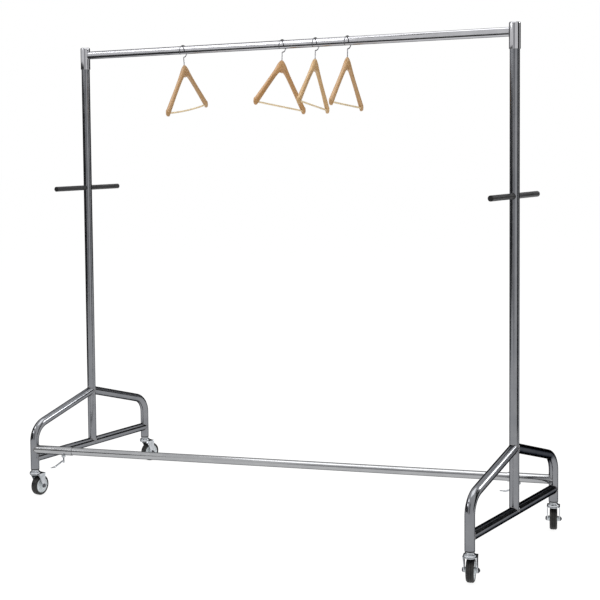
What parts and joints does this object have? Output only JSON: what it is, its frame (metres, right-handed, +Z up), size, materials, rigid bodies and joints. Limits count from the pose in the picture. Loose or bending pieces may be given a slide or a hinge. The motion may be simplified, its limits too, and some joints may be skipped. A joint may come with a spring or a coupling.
{
  "type": "rolling clothes rack",
  "caption": "Free-standing clothes rack on swivel casters: round-tube end frames, a diagonal lower rail, a lift-off chrome hanging rail, push bars and wooden hangers.",
  "frame": {"origin": "on the floor, midway between the two posts", "axes": "+X along the hanging rail to the right end, -Y towards the front, +Z up"},
  "size_m": [1.8714, 0.7169, 1.7],
  "materials": {
    "frame_steel": "dark clear-coated steel tube",
    "chrome": "polished chrome plate",
    "black_bar": "satin black",
    "black_plastic": "moulded black plastic",
    "zinc": "bright zinc plate",
    "ball_steel": "polished bearing steel",
    "hub_plastic": "light grey moulded plastic",
    "tyre": "black rubber tread",
    "hanger_wood": "clear-lacquered beech",
    "hanger_bar": "pale turned dowel"
  },
  "bodies": {
    "frame": {"left_post": "frame_steel", "right_post": "frame_steel", "left_front_leg": "frame_steel", "left_rear_leg": "frame_steel", "right_front_leg": "frame_steel", "right_rear_leg": "frame_steel", "left_crossbar": "frame_steel", "right_crossbar": "frame_steel", "left_rail_sleeve": "frame_steel", "right_rail_sleeve": "frame_steel", "lower_rail": "frame_steel", "clamp_nuts": "zinc", "left_push_bar": "black_bar", "right_push_bar": "black_bar", "push_bar_caps": "black_plastic", "swivel_balls": "ball_steel", "left_front_insert": "black_plastic", "left_front_swivel_head": "zinc", "left_rear_insert": "black_plastic", "left_rear_swivel_head": "zinc", "right_front_insert": "black_plastic", "right_front_swivel_head": "zinc", "right_rear_insert": "black_plastic", "right_rear_swivel_head": "zinc"},
    "top_rail": {"hanging_rail": "chrome", "left_collar": "chrome", "right_collar": "chrome"},
    "left_clamp": {"left_clamp_screw": "zinc"},
    "right_clamp": {"right_clamp_screw": "zinc"},
    "left_front_swivel": {"left_front_fork": "zinc", "left_front_axle": "zinc"},
    "left_front_wheel": {"left_front_hub": "hub_plastic", "left_front_tyre": "tyre"},
    "left_rear_swivel": {"left_rear_fork": "zinc", "left_rear_axle": "zinc"},
    "left_rear_wheel": {"left_rear_hub": "hub_plastic", "left_rear_tyre": "tyre"},
    "right_front_swivel": {"right_front_fork": "zinc", "right_front_axle": "zinc"},
    "right_front_wheel": {"right_front_hub": "hub_plastic", "right_front_tyre": "tyre"},
    "right_rear_swivel": {"right_rear_fork": "zinc", "right_rear_axle": "zinc"},
    "right_rear_wheel": {"right_rear_hub": "hub_plastic", "right_rear_tyre": "tyre"},
    "hanger_1_hook_body": {"hanger_1_hook": "chrome"},
    "hanger_1_arms": {"hanger_1_wood": "hanger_wood", "hanger_1_trouser_bar": "hanger_bar"},
    "hanger_2_hook_body": {"hanger_2_hook": "chrome"},
    "hanger_2_arms": {"hanger_2_wood": "hanger_wood", "hanger_2_trouser_bar": "hanger_bar"},
    "hanger_3_hook_body": {"hanger_3_hook": "chrome"},
    "hanger_3_arms": {"hanger_3_wood": "hanger_wood", "hanger_3_trouser_bar": "hanger_bar"},
    "hanger_4_hook_body": {"hanger_4_hook": "chrome"},
    "hanger_4_arms": {"hanger_4_wood": "hanger_wood", "hanger_4_trouser_bar": "hanger_bar"}
  },
  "joints": [
    {"name": "top_rail_lift", "type": "slide", "parent": "frame", "child": "top_rail", "axis": [0, 0, 1], "range_m": [0, 0.05]},
    {"name": "left_clamp_turn", "type": "hinge", "parent": "frame", "child": "left_clamp", "pos_m": [-0.79849, -0.2764, 0.1592], "axis": [0, 0, 1], "continuous": true},
    {"name": "right_clamp_turn", "type": "hinge", "parent": "frame", "child": "right_clamp", "pos_m": [0.79849, 0.2764, 0.1592], "axis": [0, 0, 1], "continuous": true},
    {"name": "left_front_swivel_turn", "type": "hinge", "parent": "frame", "child": "left_front_swivel", "pos_m": [-0.91, -0.315, 0.084], "axis": [0, 0, 1], "continuous": true},
    {"name": "left_front_wheel_spin", "type": "hinge", "parent": "left_front_swivel", "child": "left_front_wheel", "pos_m": [-0.91084, -0.29102, 0.0375], "axis": [0.9994, 0.0349, 0], "continuous": true},
    {"name": "left_rear_swivel_turn", "type": "hinge", "parent": "frame", "child": "left_rear_swivel", "pos_m": [-0.91, 0.315, 0.084], "axis": [0, 0, 1], "continuous": true},
    {"name": "left_rear_wheel_spin", "type": "hinge", "parent": "left_rear_swivel", "child": "left_rear_wheel", "pos_m": [-0.90338, 0.33807, 0.0375], "axis": [0.9613, -0.2756, 0], "continuous": true},
    {"name": "right_front_swivel_turn", "type": "hinge", "parent": "frame", "child": "right_front_swivel", "pos_m": [0.91, -0.315, 0.084], "axis": [0, 0, 1], "continuous": true},
    {"name": "right_front_wheel_spin", "type": "hinge", "parent": "right_front_swivel", "child": "right_front_wheel", "pos_m": [0.90219, -0.29231, 0.0375], "axis": [0.9455, 0.3256, 0], "continuous": true},
    {"name": "right_rear_swivel_turn", "type": "hinge", "parent": "frame", "child": "right_rear_swivel", "pos_m": [0.91, 0.315, 0.084], "axis": [0, 0, 1], "continuous": true},
    {"name": "right_rear_wheel_spin", "type": "hinge", "parent": "right_rear_swivel", "child": "right_rear_wheel", "pos_m": [0.90101, 0.33725, 0.0375], "axis": [0.9272, 0.3746, 0], "continuous": true},
    {"name": "hanger_1_slide", "type": "slide", "parent": "top_rail", "child": "hanger_1_hook_body", "axis": [1, 0, 0], "range_m": [-0.25, 0.15]},
    {"name": "hanger_1_swivel", "type": "hinge", "parent": "hanger_1_hook_body", "child": "hanger_1_arms", "pos_m": [-0.42, 0, 1.6653], "axis": [0, -0.1045, 0.9945], "range_deg": [-108, 72]},
    {"name": "hanger_2_slide", "type": "slide", "parent": "top_rail", "child": "hanger_2_hook_body", "axis": [1, 0, 0], "range_m": [-0.3, 0.06]},
    {"name": "hanger_2_swivel", "type": "hinge", "parent": "hanger_2_hook_body", "child": "hanger_2_arms", "pos_m": [0.026, 0, 1.6653], "axis": [0, 0.0698, 0.9976], "range_deg": [-20, 35]},
    {"name": "hanger_3_slide", "type": "slide", "parent": "top_rail", "child": "hanger_3_hook_body", "axis": [1, 0, 0], "range_m": [-0.06, 0.06]},
    {"name": "hanger_3_swivel", "type": "hinge", "parent": "hanger_3_hook_body", "child": "hanger_3_arms", "pos_m": [0.165, 0, 1.6653], "axis": [0, 0.0698, 0.9976], "range_deg": [-22, 18]},
    {"name": "hanger_4_slide", "type": "slide", "parent": "top_rail", "child": "hanger_4_hook_body", "axis": [1, 0, 0], "range_m": [-0.06, 0.5]},
    {"name": "hanger_4_swivel", "type": "hinge", "parent": "hanger_4_hook_body", "child": "hanger_4_arms", "pos_m": [0.295, 0, 1.6653], "axis": [0, 0.0349, 0.9994], "range_deg": [-18, 28]}
  ]
}
